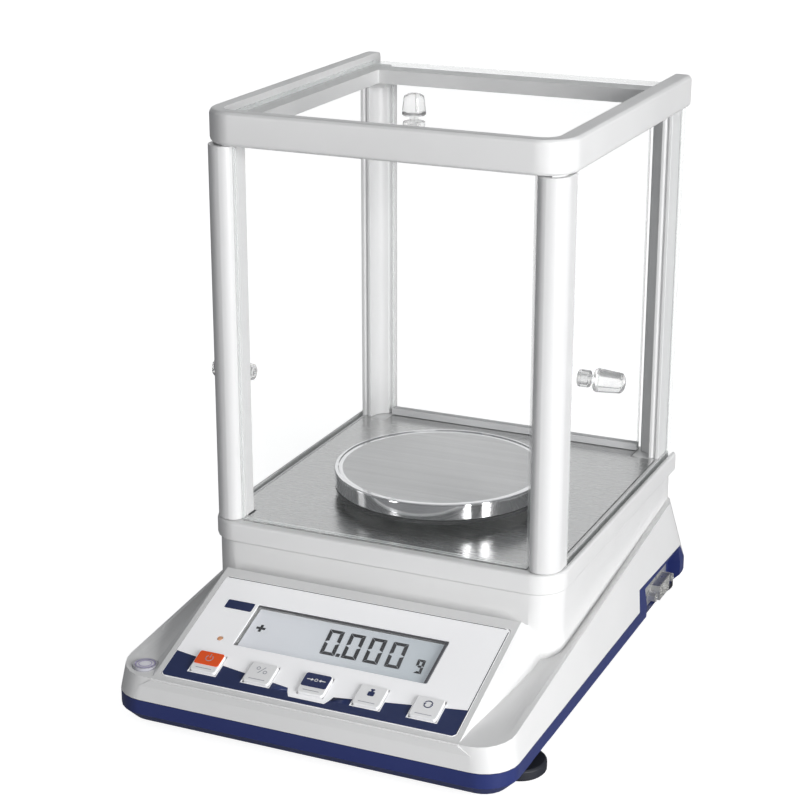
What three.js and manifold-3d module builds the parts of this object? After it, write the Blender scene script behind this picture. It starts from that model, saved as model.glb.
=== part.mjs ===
// Analytical balance with a glass draught shield. Millimetres, +Z up, the front towards -Y.
// The origin is on the surface that the feet stand on, under the middle of the whole balance.
import * as THREE from 'three';
import { mergeVertices } from 'three/addons/utils/BufferGeometryUtils.js';
import Module from 'manifold-3d';

const wasm = await Module();
wasm.setup();

// ---------- driving dimensions ----------
const GAP = 0.3; // clearance between neighbouring pieces
const WALL = 2.4; // moulded wall thickness

const BASE_HALF_W = 107.5;
const BASE_LENGTH = 301;
const FRONT = -BASE_LENGTH / 2;
const REAR = BASE_LENGTH / 2;
const BASE_CORNER = 18;
const TRAY_BOTTOM = 6;
const TRAY_KNEE = 12; // where the tray's wall turns in to its bottom
const TRAY_INSET = 6;
const TRAY_TOP = 19.6;
const PARTING = TRAY_TOP + GAP;

const SKIRT_TOP = 70; // the tapered skirt is drawn up to here and cut by the shoulder plane
const SIDE_TAPER = 0.17;
const FRONT_TAPER = 0.14;
const REAR_TAPER = 0.31;
const RIDGE_START = 32.2; // height of the shoulder ridge at the front
const RIDGE_SLOPE = 0.093;
const DISH_DEPTH = 4.5;

const PANEL_SLOPE = Math.atan(0.352);
const PANEL_START = 31.3; // height of the panel plane at the front face
const CONSOLE_TOP_HALF_W = 82.8;
const CONSOLE_FOOT_HALF_W = 89.5;
const CONSOLE_APEX = FRONT + 82.5;
const CONSOLE_END = FRONT + 91.5;

const DECK_HALF_W = 97.5;
const DECK_FRONT = FRONT + 92;
const DECK_REAR = REAR - 12;
const DECK_TOP = 71.3;
const DECK_CORNER = 15;

const RING_HALF_W = 98.8;
const RING_FRONT = FRONT + 90;
const RING_REAR = REAR - 10;
const RING_BOTTOM = DECK_TOP + GAP;
const RING_TOP = 82.7;
const RING_CORNER = 16;

const FRAME_HALF_W = 98;
const FRAME_FRONT = FRONT + 91;
const FRAME_REAR = FRONT + 291;
const FRAME_BOTTOM = 283.4;
const FRAME_FLANGE = 287; // underside of the inner flange
const FRAME_LEDGE = 294.8; // the top door slides on this
const FRAME_TOP = 301;
const FRAME_CORNER = 18;
const FRAME_WALL = 9;
const FRAME_OPENING_HALF_W = 79.3;
const BACK_RAIL_FRONT = FRONT + 266.5;
const BACK_RAIL_REAR = FRONT + 280;

const GLASS = 2.4;
const DOOR_PLANE = 95; // middle of the side doors' glass
const DOOR_FRONT = FRONT + 110.4;
const DOOR_REAR = FRONT + 286;
const TRACK_DEPTH = 3.6;
const TRACK_CLEAR = 0.4;

const POST_OUT = 96.4;
const POST_WALL = 2.8;
const POST_IN = 80.8;
const POST_FRONT = FRONT + 92.2;
const POST_BACK = FRONT + 109.6;
const NOSE_OUT = 9.4; // radius of the posts' outer front corner
const NOSE_IN = 6;
const REAR_POST_IN = 78;
const REAR_POST_OUT = 93.2;
const REAR_POST_FRONT = FRONT + 272;
const REAR_POST_REAR = FRONT + 290;

const REAR_GLASS_FRONT = FRONT + 281.7;
const PLATE_TOP = 83;
const PLATE_THICK = 1;

const PAN_Y = FRONT + 176;
const PAN_R = 58.8;
const PAN_TOP = 98.5;
const PAN_SKIRT = 9;

const FOOT_X = 96.2;
const FRONT_FOOT_Y = FRONT + 46.7;
const REAR_FOOT_Y = REAR - 19;
const REAR_FOOT_X = 88;
const FOOT_R = 14;
const FOOT_H = 6.2;
const STUD_R = 4;

// ---------- materials ----------
const paint = (color, roughness, metalness = 0, extra = {}) =>
  new THREE.MeshStandardMaterial({ color, roughness, metalness, ...extra });
const clear = { transparent: true, opacity: 0.25 };
const WHITE = paint(0xe6e6e4, 0.42);
const BLUE = paint(0x2c3372, 0.4);
const ALUMINIUM = paint(0xdfe0e0, 0.38);
const STEEL = paint(0x9b9b9a, 0.35, 1);
const CHROME = paint(0xd0d0d0, 0.12, 1);
const CLEAR_GLASS = paint(0xf4fafa, 0.05, 0, clear);
const CLEAR_PLASTIC = paint(0xf2f4f4, 0.15, 0, clear);
const RUBBER = paint(0x1b1d22, 0.7);
const BOARD = paint(0x1f5a38, 0.5);
const LCD_GREY = paint(0xd9dde2, 0.3);
const FILM = paint(0xf0f0f2, 0.4);
const ORANGE = paint(0xf0521c, 0.4);
const NAVY = paint(0x2b3a62, 0.4);
const DARK = paint(0x2a2a2c, 0.5);

// ---------- making and cutting solids ----------
const toSolid = (geometry) => {
  const g = geometry.clone();
  g.deleteAttribute('normal');
  g.deleteAttribute('uv');
  const merged = mergeVertices(g, 1e-4);
  return new wasm.Manifold(
    new wasm.Mesh({
      numProp: 3,
      vertProperties: new Float32Array(merged.attributes.position.array),
      triVerts: new Uint32Array(merged.index.array),
    }),
  );
};

const toGeometry = (solid) => {
  const m = solid.getMesh();
  const g = new THREE.BufferGeometry();
  g.setAttribute('position', new THREE.BufferAttribute(new Float32Array(m.vertProperties), 3));
  g.setIndex(new THREE.BufferAttribute(new Uint32Array(m.triVerts), 1));
  const flat = g.toNonIndexed();
  flat.computeVertexNormals();
  return flat;
};

const group = new THREE.Group();
const add = (name, solid, material, parent = group) => {
  const mesh = new THREE.Mesh(toGeometry(solid), material);
  mesh.name = name;
  parent.add(mesh);
  return mesh;
};

const box = (x0, x1, y0, y1, z0, z1) =>
  toSolid(new THREE.BoxGeometry(x1 - x0, y1 - y0, z1 - z0).translate((x0 + x1) / 2, (y0 + y1) / 2, (z0 + z1) / 2));

const AXIS_TURN = { z: [Math.PI / 2, 0, 0], x: [0, 0, -Math.PI / 2], y: [0, 0, 0] };
const cylinder = (axis, at, r0, r1, length, sides = 32) => {
  const g = new THREE.CylinderGeometry(r1, r0, length, sides).translate(0, length / 2, 0);
  g.rotateX(AXIS_TURN[axis][0]);
  g.rotateZ(AXIS_TURN[axis][2]);
  return toSolid(g.translate(...at));
};

// A turned shape about +Z from [radius, height] pairs that start and end on the axis or close up.
const turned = (pairs, x, y, sides = 48) =>
  toSolid(
    new THREE.LatheGeometry(pairs.map(([r, h]) => new THREE.Vector2(r, h)), sides)
      .rotateX(Math.PI / 2)
      .translate(x, y, 0),
  );

// Corner points of a rectangle with rounded corners, counterclockwise; radii are [front, rear].
const roundedPoints = (halfW, y0, y1, radii, steps = 6) => {
  const points = [];
  const corners = [
    [halfW, y0, radii[0], -Math.PI / 2, -1, 1],
    [halfW, y1, radii[1], 0, -1, -1],
    [-halfW, y1, radii[1], Math.PI / 2, 1, -1],
    [-halfW, y0, radii[0], Math.PI, 1, 1],
  ];
  for (const [x, y, r, start, sx, sy] of corners) {
    const count = r > 0 ? steps : 0;
    for (let i = 0; i <= count; i += 1) {
      const a = start + (count ? (i / count) * (Math.PI / 2) : 0);
      points.push(new THREE.Vector2(x + sx * r + r * Math.cos(a) * (count ? 1 : 0), y + sy * r + r * Math.sin(a) * (count ? 1 : 0)));
    }
  }
  return points;
};

const shapeOf = (points) => new THREE.Shape(points);

// An outline in the XY plane raised from z0 to z1, with its end edges rounded by bevel.
const prism = (points, z0, z1, bevel = 0, bevelSteps = 3) => {
  const g = new THREE.ExtrudeGeometry(shapeOf(points), {
    depth: z1 - z0 - 2 * bevel,
    bevelEnabled: bevel > 0,
    bevelThickness: bevel,
    bevelSize: bevel,
    bevelOffset: -bevel,
    bevelSegments: bevelSteps,
  });
  return toSolid(g.translate(0, 0, z0 + bevel));
};

const slab = (halfW, y0, y1, radii, z0, z1, bevel = 0) => prism(roundedPoints(halfW, y0, y1, radii), z0, z1, bevel);

// A [y, z] outline spread along X from x0 to x1.
const sideProfile = (pairs, x0, x1) => {
  const g = new THREE.ExtrudeGeometry(shapeOf(pairs.map(([y, z]) => new THREE.Vector2(y, z))), {
    depth: x1 - x0,
    bevelEnabled: false,
  });
  g.applyMatrix4(new THREE.Matrix4().set(0, 0, 1, x0, 1, 0, 0, 0, 0, 1, 0, 0, 0, 0, 0, 1));
  return toSolid(g);
};

// A closed body through rings of 3-D points that all run the same way round.
const loft = (rings) => {
  const positions = rings.flat().flatMap((p) => [p.x, p.y, p.z]);
  const n = rings[0].length;
  const index = [];
  for (let r = 0; r + 1 < rings.length; r += 1) {
    for (let i = 0; i < n; i += 1) {
      const a = r * n + i;
      const b = r * n + ((i + 1) % n);
      index.push(a, b, b + n, a, b + n, a + n);
    }
  }
  const last = (rings.length - 1) * n;
  for (let i = 1; i + 1 < n; i += 1) {
    index.push(0, i + 1, i);
    index.push(last, last + i, last + i + 1);
  }
  const g = new THREE.BufferGeometry();
  g.setAttribute('position', new THREE.Float32BufferAttribute(positions, 3));
  g.setIndex(index);
  return toSolid(g);
};

const level = (points, z) => points.map((p) => new THREE.Vector3(p.x, p.y, z));
const ringAt = (z, halfW, y0, y1, radius) => level(roundedPoints(halfW, y0, y1, [radius, radius]), z);
const join = (...solids) => solids.reduce((a, b) => a.add(b));
const cut = (solid, ...tools) => tools.reduce((a, b) => a.subtract(b), solid);
const SIDES = [
  ['left', -1],
  ['right', 1],
];
const mirrored = (solid, side) => (side > 0 ? solid : solid.mirror([1, 0, 0]));

// ---------- the lower tray and its connector pocket ----------
const skirtAt = (z, inset = 0) =>
  ringAt(
    z,
    BASE_HALF_W - SIDE_TAPER * Math.max(0, z - PARTING) - inset,
    FRONT + FRONT_TAPER * Math.max(0, z - PARTING) + inset,
    REAR - REAR_TAPER * Math.max(0, z - PARTING) - inset,
    BASE_CORNER - inset,
  );
const ridge = (y) => RIDGE_START + RIDGE_SLOPE * (y - FRONT);

const POCKET_FOOT = TRAY_BOTTOM + 1.5;
// The side wall is blue up to this outline behind the middle of the right side.
const pocketOutline = (grow) => [
  [51.5 - grow, POCKET_FOOT],
  [51.5 - grow, PARTING],
  [55.5 - grow, 31 + grow],
  [131.5 + grow, 28.5 + grow],
  [136.5 + grow, PARTING],
  [136.5 + grow, POCKET_FOOT],
];
const POCKET = { y0: 64, y1: 127, floorX: 100.2, z0: 8.5, z1: 28.4 };
const POCKET_SCREW = { y: 70, z: 24 };
const CONNECTOR_Y = 99.7;
const CONNECTOR_Z = 15;

const BAY_R = FOOT_R + 2.2; // the wells that the foot wheels turn in
const BOARD_Z = 15;
const boardPosts = [[-84, -30], [-84, 74], [-42, -30], [-42, 74]];
const trayScrews = [[-70, -126], [70, -126], [-60, 136], [60, 136]];
const footPlaces = [];
for (const [side, sign] of SIDES) {
  footPlaces.push([`front_${side}`, sign * FOOT_X, FRONT_FOOT_Y]);
  footPlaces.push([`rear_${side}`, sign * REAR_FOOT_X, REAR_FOOT_Y]);
}

const makeTray = () => {
  const outer = loft([
    ringAt(TRAY_BOTTOM, BASE_HALF_W - TRAY_INSET, FRONT + TRAY_INSET, REAR - TRAY_INSET, BASE_CORNER - TRAY_INSET),
    ringAt(TRAY_KNEE, BASE_HALF_W, FRONT, REAR, BASE_CORNER),
    ringAt(TRAY_TOP, BASE_HALF_W, FRONT, REAR, BASE_CORNER),
  ]);
  const innerInset = TRAY_INSET + WALL * 0.6;
  const inner = loft([
    ringAt(TRAY_BOTTOM + WALL, BASE_HALF_W - innerInset, FRONT + innerInset, REAR - innerInset, BASE_CORNER - innerInset),
    ringAt(TRAY_KNEE + 0.8, BASE_HALF_W - WALL, FRONT + WALL, REAR - WALL, BASE_CORNER - WALL),
    ringAt(TRAY_TOP + 1, BASE_HALF_W - WALL, FRONT + WALL, REAR - WALL, BASE_CORNER - WALL),
  ]);
  let tray = cut(outer, inner);
  const wall = join(outer, loft([skirtAt(TRAY_TOP - 0.1), skirtAt(PARTING), skirtAt(34)]));
  tray = tray.add(sideProfile(pocketOutline(0), POCKET.floorX - WALL, 120).intersect(wall));
  for (const [, x, y] of footPlaces) {
    tray = tray.add(cylinder('z', [x, y, TRAY_BOTTOM + 1], BAY_R + WALL, BAY_R + WALL, 9, 28).intersect(outer));
  }
  for (const [x, y] of boardPosts) {
    tray = tray.add(cylinder('z', [x, y, TRAY_BOTTOM + 1], 3, 3, BOARD_Z - GAP - TRAY_BOTTOM - 1, 16));
  }
  for (const [, x, y] of footPlaces) {
    tray = tray.subtract(cylinder('z', [x, y, 0], BAY_R, BAY_R, TRAY_KNEE + 0.2, 28));
    tray = tray.subtract(cylinder('z', [x, y, 0], STUD_R + GAP, STUD_R + GAP, 30, 24));
  }
  for (const [x, y] of trayScrews) {
    tray = tray.subtract(cylinder('z', [x, y, 0], 2 + GAP, 2 + GAP, 20, 20));
    tray = tray.subtract(cylinder('z', [x, y, 0], 4 + GAP, 4 + GAP, TRAY_BOTTOM + 1.3, 24));
  }
  return cut(
    tray,
    box(POCKET.floorX, 120, POCKET.y0, POCKET.y1, POCKET.z0, POCKET.z1),
    box(90, 101, CONNECTOR_Y - 9.8, CONNECTOR_Y + 9.8, CONNECTOR_Z - 4.4, CONNECTOR_Z + 4.4),
    cylinder('x', [95, POCKET_SCREW.y, POCKET_SCREW.z], 1.5 + GAP, 1.5 + GAP, 8, 16),
  );
};
add('lower_tray', makeTray(), BLUE);

// ---------- the upper housing ----------
const panelFrame = new THREE.Group();
panelFrame.position.set(0, FRONT, PANEL_START);
panelFrame.rotation.x = PANEL_SLOPE;
panelFrame.updateMatrix();
group.add(panelFrame);
const onPanel = (solid) => solid.transform(panelFrame.matrix.toArray());

const OVERLAY = { halfW: 79.8, v0: 6.2, v1: 81.2, thick: 0.7 };
const LCD = { halfW: 53.3, v0: 34.9, v1: 65.5 };
const KEY = { w: 14.4, d: 13.5, v: 19.4, pitch: 29.8, proud: 1.1, deep: 6 };
const KEY_NAMES = ['key_power', 'key_count', 'key_tare', 'key_calibrate', 'key_print'];
const keyX = (i) => (i - 2) * KEY.pitch + 0.3;
const LED = { x: -61.8, v: 37.6, r: 1.4 };
const LEVEL = { x: -92, y: FRONT + 12, r: 6.3, top: 34.6, depth: 6 };

const keySlot = (x) =>
  box(x - KEY.w / 2 - 0.4, x + KEY.w / 2 + 0.4, KEY.v - KEY.d / 2 - 0.4, KEY.v + KEY.d / 2 + 0.4, -9, 5);
const INLET = { x: 62, y: REAR - 2.2, z: 28, r: 5.4, flangeR: 7.4 };

const consoleBody = (inset, bottom) => {
  const section = (y, top, foot) => [
    new THREE.Vector3(-CONSOLE_FOOT_HALF_W + inset, y, foot),
    new THREE.Vector3(CONSOLE_FOOT_HALF_W - inset, y, foot),
    new THREE.Vector3(CONSOLE_TOP_HALF_W - inset, y, top - inset),
    new THREE.Vector3(-CONSOLE_TOP_HALF_W + inset, y, top - inset),
  ];
  const topAt = (y) => PANEL_START + Math.tan(PANEL_SLOPE) * (y - FRONT);
  const start = FRONT + 1 + inset;
  const apexTop = topAt(CONSOLE_APEX);
  return loft([
    section(start, topAt(start), bottom),
    section(CONSOLE_APEX, apexTop, bottom + 7),
    section(CONSOLE_END + inset, apexTop - 5.6, bottom + 8),
    section(CONSOLE_END + 6, apexTop - 5.6, bottom + 8),
  ].map((ring) => ring.reverse()));
};

// The shoulders are dished between the ridge and the walls that rise inside them.
const DISH_STATIONS = [[16, 0], [45, 2.4], [85, 4.6], [170, 4.6], [250, 2.4], [310, 1.2]];
const shoulderCutter = (side) => {
  const edge = BASE_HALF_W - 5.2;
  const inner = 70;
  const steps = 7;
  const rings = DISH_STATIONS.map(([along, depth]) => {
    const y = FRONT + along;
    const z = ridge(y);
    const ring = [new THREE.Vector3(inner, y, z + 60), new THREE.Vector3(inner, y, z - depth)];
    for (let i = 0; i <= steps; i += 1) {
      const t = i / steps;
      const x = inner + (edge - inner) * (0.55 + 0.45 * t);
      ring.push(new THREE.Vector3(x, y, z - depth * (1 - t * t * t)));
    }
    ring.push(new THREE.Vector3(edge, y, z + 60));
    return ring.reverse();
  });
  return mirrored(loft(rings), side);
};

const makeHousing = () => {
  let skin = loft([skirtAt(PARTING), skirtAt(SKIRT_TOP)]);
  skin = skin.intersect(
    sideProfile([[FRONT - 5, 15], [REAR + 5, 15], [REAR + 5, ridge(REAR + 5)], [FRONT - 5, ridge(FRONT - 5)]], -120, 120),
  );
  for (const [, side] of SIDES) skin = skin.subtract(shoulderCutter(side));
  const deck = slab(DECK_HALF_W, DECK_FRONT, DECK_REAR, [DECK_CORNER, 10], 26, DECK_TOP);
  skin = join(skin, consoleBody(0, 27.5), deck);
  const under = DISH_DEPTH + WALL + 1;
  const hollowSkirt = loft([skirtAt(PARTING - 1, WALL), skirtAt(SKIRT_TOP, WALL)]).intersect(
    sideProfile(
      [[FRONT, 15], [REAR, 15], [REAR, ridge(REAR) - under], [FRONT, ridge(FRONT) - under]],
      -120,
      120,
    ),
  );
  const hollowDeck = slab(
    DECK_HALF_W - WALL, DECK_FRONT + WALL, DECK_REAR - WALL, [DECK_CORNER - WALL, 8], PARTING - 1, DECK_TOP - WALL,
  );
  skin = cut(skin, hollowSkirt, hollowDeck, consoleBody(WALL, 18));
  // Shallow bed for the overlay, then the openings under it.
  const bed = prism(
    roundedPoints(OVERLAY.halfW + GAP, OVERLAY.v0 - GAP, OVERLAY.v1 + GAP, [2, 2], 3), -OVERLAY.thick, 20,
  );
  const window = prism(roundedPoints(LCD.halfW + 1, LCD.v0 - 1, LCD.v1 + 1, [1, 1], 2), -9, 20);
  skin = cut(skin, onPanel(bed), onPanel(window));
  for (let i = 0; i < KEY_NAMES.length; i += 1) skin = skin.subtract(onPanel(keySlot(keyX(i))));
  skin = skin.subtract(onPanel(cylinder('z', [LED.x, LED.v, -9], LED.r + GAP, LED.r + GAP, 20, 20)));
  skin = skin.subtract(
    cylinder('z', [LEVEL.x, LEVEL.y, LEVEL.top - LEVEL.depth - GAP], LEVEL.r + GAP, LEVEL.r + GAP, 30, 40),
  );
  skin = skin.subtract(cylinder('z', [0, PAN_Y, 60], 16, 16, 20, 40));
  const boss = INLET.flangeR + 0.6;
  skin = skin.add(cylinder('y', [INLET.x, INLET.y - 8, INLET.z], boss, boss, 8.1, 28));
  for (const [from, r] of [[-14, INLET.r + GAP], [0.1, INLET.flangeR + GAP]]) {
    skin = skin.subtract(cylinder('y', [INLET.x, INLET.y + from, INLET.z], r, r, 20, 28));
  }
  return skin.subtract(sideProfile(pocketOutline(GAP), POCKET.floorX - WALL - GAP, 125));
};
add('upper_housing', makeHousing(), WHITE);

// ---------- the draught shield's lower ring and top frame ----------
const doorTrack = (side, y0, y1, z0, z1) => {
  const half = GLASS / 2 + TRACK_CLEAR;
  return mirrored(box(DOOR_PLANE - half, DOOR_PLANE + half, y0, y1, z0, z1), side);
};

// Leaves out the rear corners, where the rear posts stand.
const betweenRearPosts = (solid, grow) =>
  cut(
    solid,
    box(REAR_POST_IN - 0.7 - grow, 120, REAR_POST_FRONT - 0.7 - grow, REAR + 20, 50, 320),
    box(-120, -REAR_POST_IN + 0.7 + grow, REAR_POST_FRONT - 0.7 - grow, REAR + 20, 50, 320),
  );

// Leaves the front corners solid under the front posts.
const betweenFrontPosts = (solid, grow) =>
  cut(
    solid,
    box(POST_IN - 0.7 - grow, 120, FRONT + 80, POST_BACK + 0.7 + grow, 50, 320),
    box(-120, -POST_IN + 0.7 + grow, FRONT + 80, POST_BACK + 0.7 + grow, 50, 320),
  );

const makeRing = () => {
  const outer = slab(RING_HALF_W, RING_FRONT, RING_REAR, [RING_CORNER, 3], RING_BOTTOM, RING_TOP, 1.6);
  const floorWell = slab(91.8, FRONT + 95.5, FRONT + 286.5, [12, 4], PLATE_TOP - PLATE_THICK - GAP, RING_TOP + 5);
  const well = betweenFrontPosts(betweenRearPosts(floorWell, 0), 0);
  const opening = slab(84, FRONT + 101, FRONT + 274, [10, 10], RING_BOTTOM - 5, RING_TOP + 5);
  let ring = cut(outer, well, opening);
  for (const [, side] of SIDES) {
    ring = ring.subtract(doorTrack(side, DOOR_FRONT - 1, RING_REAR + 5, RING_TOP - TRACK_DEPTH, RING_TOP + 5));
  }
  return ring;
};
add('shield_base_ring', makeRing(), WHITE);

const makeTopFrame = () => {
  let frame = slab(FRAME_HALF_W, FRAME_FRONT, FRAME_REAR, [FRAME_CORNER, 3.2], FRAME_BOTTOM, FRAME_TOP, 2.8);
  const inside = FRAME_HALF_W - FRAME_WALL;
  const far = FRAME_REAR + 5;
  frame = cut(
    frame,
    slab(inside, FRAME_FRONT + 6.5, far, [8, 0], FRAME_LEDGE, FRAME_TOP + 5),
    betweenRearPosts(slab(inside, FRAME_FRONT + 4.6, far, [6, 0], FRAME_BOTTOM - 5, FRAME_FLANGE), 0),
    slab(FRAME_OPENING_HALF_W, FRAME_FRONT + 18, BACK_RAIL_FRONT, [3, 1], FRAME_BOTTOM - 5, FRAME_TOP + 5),
    slab(FRAME_OPENING_HALF_W, BACK_RAIL_REAR, far, [0, 0], FRAME_BOTTOM - 5, FRAME_TOP + 5),
    slab(inside, FRONT + 285, far, [0, 0], FRAME_BOTTOM - 5, FRAME_TOP + 5),
  );
  for (const [, side] of SIDES) {
    frame = frame.subtract(doorTrack(side, DOOR_FRONT - 1, far, FRAME_BOTTOM - 5, FRAME_BOTTOM + TRACK_DEPTH));
  }
  return frame;
};
add('top_frame', makeTopFrame(), WHITE);

// ---------- the four posts ----------
const arc = (cx, cy, r, a0, a1, steps) =>
  Array.from({ length: steps + 1 }, (_, i) => {
    const a = a0 + ((a1 - a0) * i) / steps;
    return new THREE.Vector2(cx + r * Math.cos(a), cy + r * Math.sin(a));
  });

// The front posts are bull-nosed channels, open to the back.
const frontPostOutline = () => {
  const near = (wall) => arc(POST_OUT - NOSE_OUT, POST_FRONT + NOSE_OUT, NOSE_OUT - wall, 0, -Math.PI / 2, 9);
  const far = (wall) => arc(POST_IN + NOSE_IN, POST_FRONT + NOSE_IN, NOSE_IN - wall, -Math.PI / 2, -Math.PI, 7);
  return [
    new THREE.Vector2(POST_OUT, POST_BACK),
    ...near(0),
    ...far(0),
    new THREE.Vector2(POST_IN, POST_BACK),
    new THREE.Vector2(POST_IN + POST_WALL, POST_BACK),
    ...far(POST_WALL).reverse(),
    ...near(POST_WALL).reverse(),
    new THREE.Vector2(POST_OUT - POST_WALL, POST_BACK),
  ].reverse();
};

// The rear posts are open channels: a fluted face to the front and a curved inner face.
const rearPostOutline = () => {
  const fluteY = REAR_POST_FRONT + 0.9;
  const face = 87.4;
  return [
    new THREE.Vector2(REAR_POST_OUT, REAR_POST_FRONT),
    new THREE.Vector2(REAR_POST_OUT, REAR_POST_REAR),
    new THREE.Vector2(REAR_POST_IN, REAR_POST_REAR),
    new THREE.Vector2(REAR_POST_IN, REAR_POST_REAR - 3.2),
    ...arc(REAR_POST_IN, REAR_POST_FRONT + 1, 9, Math.PI * 0.42, 0.06, 8),
    new THREE.Vector2(face, REAR_POST_FRONT),
    new THREE.Vector2(89.2, REAR_POST_FRONT),
    new THREE.Vector2(89.6, fluteY),
    new THREE.Vector2(90.8, fluteY),
    new THREE.Vector2(91.2, REAR_POST_FRONT),
  ];
};

const FLUSH = 0.3;
for (const [side, sign] of SIDES) {
  const front = prism(frontPostOutline(), RING_TOP + FLUSH, FRAME_BOTTOM - FLUSH);
  const rear = prism(rearPostOutline(), RING_TOP + FLUSH, FRAME_BOTTOM - FLUSH);
  add(`front_${side}_post`, mirrored(front, sign), ALUMINIUM);
  add(`rear_${side}_post`, mirrored(rear, sign), ALUMINIUM);
}

// ---------- the glass ----------
const KNOB = { r0: 6.1, r1: 5.2, length: 15.5, neck: 2.2, nutR: 4.4, nut: 5.6 };
const SIDE_KNOBS = { left: { y: FRONT + 126, z: 155 }, right: { y: FRONT + 144.8, z: 170 } };
const TOP_KNOB_Y = FRONT + 137;
const TOP_KNOB_LENGTH = 11.2;
const neckHole = (axis, at) => cylinder(axis, at, KNOB.neck + GAP, KNOB.neck + GAP, 12, 24);

add(
  'front_glass',
  box(-POST_IN + GAP, POST_IN - GAP, FRONT + 95.9, FRONT + 95.9 + GLASS, PLATE_TOP + GAP, FRAME_FLANGE - GAP),
  CLEAR_GLASS,
);
add(
  'rear_glass',
  box(-REAR_POST_IN + GAP, REAR_POST_IN - GAP, REAR_GLASS_FRONT, REAR_GLASS_FRONT + GLASS, PLATE_TOP + 2.2, FRAME_LEDGE - 2),
  CLEAR_GLASS,
);
add(
  'rear_glass_seal',
  cut(
    box(-77.4, 77.4, REAR_GLASS_FRONT - 1.2, REAR_GLASS_FRONT + GLASS + 1.2, PLATE_TOP + GAP, PLATE_TOP + 4.4),
    box(-80, 80, REAR_GLASS_FRONT - GAP, REAR_GLASS_FRONT + GLASS + GAP, PLATE_TOP + 1.9, PLATE_TOP + 9),
  ),
  RUBBER,
);

// A turned grip with a domed end, its waist where it passes the glass.
const grip = (length) => {
  const dome = 2.2;
  const pairs = [[0, 0], [KNOB.r0 - 0.6, 0], [KNOB.r0, 0.8], [KNOB.r1, length - dome]];
  const steps = 4;
  for (let i = 1; i <= steps; i += 1) {
    const a = (i / steps) * (Math.PI / 2);
    pairs.push([KNOB.r1 * Math.cos(a), length - dome + dome * Math.sin(a)]);
  }
  return pairs;
};
const NECK = GLASS + 2 * GAP + KNOB.nut + 0.6;
const neckedGrip = (length) => [[0, -NECK], [KNOB.neck, -NECK], [KNOB.neck, 0], ...grip(length).slice(1)];
const collar = (radius, thick) => [
  [KNOB.neck + GAP, 0], [radius, 0], [radius, thick], [KNOB.neck + GAP, thick], [KNOB.neck + GAP, 0],
];
const aimed = (pairs, sign, at) => {
  const g = new THREE.LatheGeometry(pairs.map(([r, h]) => new THREE.Vector2(r, h)), 20);
  g.rotateZ(-sign * (Math.PI / 2));
  return toSolid(g.translate(...at));
};

for (const [side, sign] of SIDES) {
  const { y, z } = SIDE_KNOBS[side];
  const outer = DOOR_PLANE + GLASS / 2;
  const pane = box(
    DOOR_PLANE - GLASS / 2, outer, DOOR_FRONT, DOOR_REAR, RING_TOP - TRACK_DEPTH + 0.4, FRAME_BOTTOM + TRACK_DEPTH - 0.6,
  );
  add(`${side}_door_glass`, cut(mirrored(pane, sign), neckHole('x', [sign * DOOR_PLANE - 6, y, z])), CLEAR_GLASS);
  add(`${side}_door_knob`, aimed(neckedGrip(KNOB.length), sign, [sign * (outer + GAP), y, z]), CLEAR_PLASTIC);
  const nutAt = [sign * (DOOR_PLANE - GLASS / 2 - GAP), y, z];
  add(`${side}_door_knob_nut`, aimed(collar(KNOB.nutR, KNOB.nut), -sign, nutAt), CLEAR_PLASTIC);
}

const TOP_PANE = { z0: FRAME_LEDGE + GAP, y0: FRAME_FRONT + 7, y1: BACK_RAIL_REAR };
const topPaneTop = TOP_PANE.z0 + GLASS;
const topPane = slab(FRAME_HALF_W - FRAME_WALL - 0.5, TOP_PANE.y0, TOP_PANE.y1, [7.7, 1], TOP_PANE.z0, topPaneTop);
add('top_door_glass', cut(topPane, neckHole('z', [0, TOP_KNOB_Y, TOP_PANE.z0 - 3])), CLEAR_GLASS);
const liftZ = (pairs, z) => pairs.map(([r, h]) => [r, h + z]);
add('top_door_knob', turned(liftZ(neckedGrip(TOP_KNOB_LENGTH), topPaneTop + GAP), 0, TOP_KNOB_Y, 20), CLEAR_PLASTIC);
add(
  'top_door_knob_nut',
  turned(liftZ(collar(KNOB.r0 - 0.5, KNOB.nut), TOP_PANE.z0 - GAP - KNOB.nut), 0, TOP_KNOB_Y, 20),
  CLEAR_PLASTIC,
);

// ---------- the chamber floor, the pan and what carries it ----------
const PLATE_HOLE_R = 14;
const makePlate = () => {
  const sheet = slab(91.4, FRONT + 95.9, FRONT + 286.1, [11.6, 3.6], PLATE_TOP - PLATE_THICK, PLATE_TOP);
  return betweenFrontPosts(betweenRearPosts(sheet, GAP), GAP).subtract(
    cylinder('z', [0, PAN_Y, 70], PLATE_HOLE_R, PLATE_HOLE_R, 20, 40),
  );
};
add('chamber_floor_plate', makePlate(), STEEL);

const PAN_SHELL = 1.5;
const panBottom = PAN_TOP - PAN_SKIRT;
const panDisc = PAN_TOP - 0.6;
add(
  'weighing_pan',
  turned(
    [
      [0, panDisc - PAN_SHELL], [PAN_R - 2.8, panDisc - PAN_SHELL], [PAN_R - 1.4, panDisc - PAN_SHELL - 1.4],
      [PAN_R - 1.4, panBottom], [PAN_R - 0.5, panBottom], [PAN_R, panBottom + 0.6], [PAN_R, PAN_TOP - 1.1],
      [PAN_R - 0.3, PAN_TOP - 0.3], [PAN_R - 1, PAN_TOP], [PAN_R - 2, PAN_TOP], [PAN_R - 2.6, panDisc], [0, panDisc],
    ],
    0, PAN_Y, 60,
  ),
  CHROME,
);
const bandTop = panBottom - GAP;
const bandBottom = bandTop - 2;
add(
  'pan_foot_band',
  turned(
    [
      [PAN_R - 3.4, bandBottom], [PAN_R - 0.6, bandBottom], [PAN_R - 0.2, bandTop], [PAN_R - 3.4, bandTop],
      [PAN_R - 3.4, bandBottom],
    ],
    0, PAN_Y, 60,
  ),
  DARK,
);

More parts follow.
